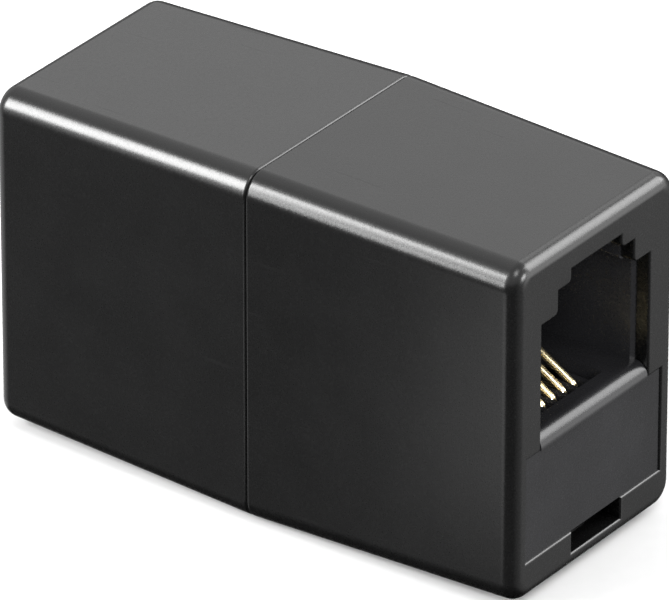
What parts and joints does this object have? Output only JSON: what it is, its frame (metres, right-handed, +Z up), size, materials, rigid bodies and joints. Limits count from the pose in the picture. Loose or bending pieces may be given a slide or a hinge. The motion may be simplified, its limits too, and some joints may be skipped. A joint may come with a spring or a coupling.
{
  "type": "telephone inline coupler",
  "caption": "Black snap-together housing with a keyed modular telephone socket in each end face, wired through to join line cords.",
  "frame": {"origin": "under the middle of the seam, at the lowest line of the housing", "axes": "+X along the coupler to one of its like ends, +Z up on the side of the plugs' latches, Y across"},
  "size_m": [0.0366, 0.0166, 0.0223],
  "materials": {
    "housing_plastic": "satin",
    "insert_plastic": "satin",
    "contact_gold": "polished",
    "sleeve_tin": "satin",
    "lead_black": "satin",
    "lead_red": "satin",
    "lead_green": "satin",
    "lead_yellow": "satin"
  },
  "bodies": {
    "root": {"housing_right": "housing_plastic", "housing_left": "housing_plastic", "jack_insert_right": "insert_plastic", "jack_insert_left": "insert_plastic", "contact_right_1": "contact_gold", "crimp_sleeve_right_1": "sleeve_tin", "contact_left_1": "contact_gold", "crimp_sleeve_left_1": "sleeve_tin", "lead_1": "lead_black", "contact_right_2": "contact_gold", "crimp_sleeve_right_2": "sleeve_tin", "contact_left_2": "contact_gold", "crimp_sleeve_left_2": "sleeve_tin", "lead_2": "lead_red", "contact_right_3": "contact_gold", "crimp_sleeve_right_3": "sleeve_tin", "contact_left_3": "contact_gold", "crimp_sleeve_left_3": "sleeve_tin", "lead_3": "lead_green", "contact_right_4": "contact_gold", "crimp_sleeve_right_4": "sleeve_tin", "contact_left_4": "contact_gold", "crimp_sleeve_left_4": "sleeve_tin", "lead_4": "lead_yellow"}
  },
  "joints": []
}
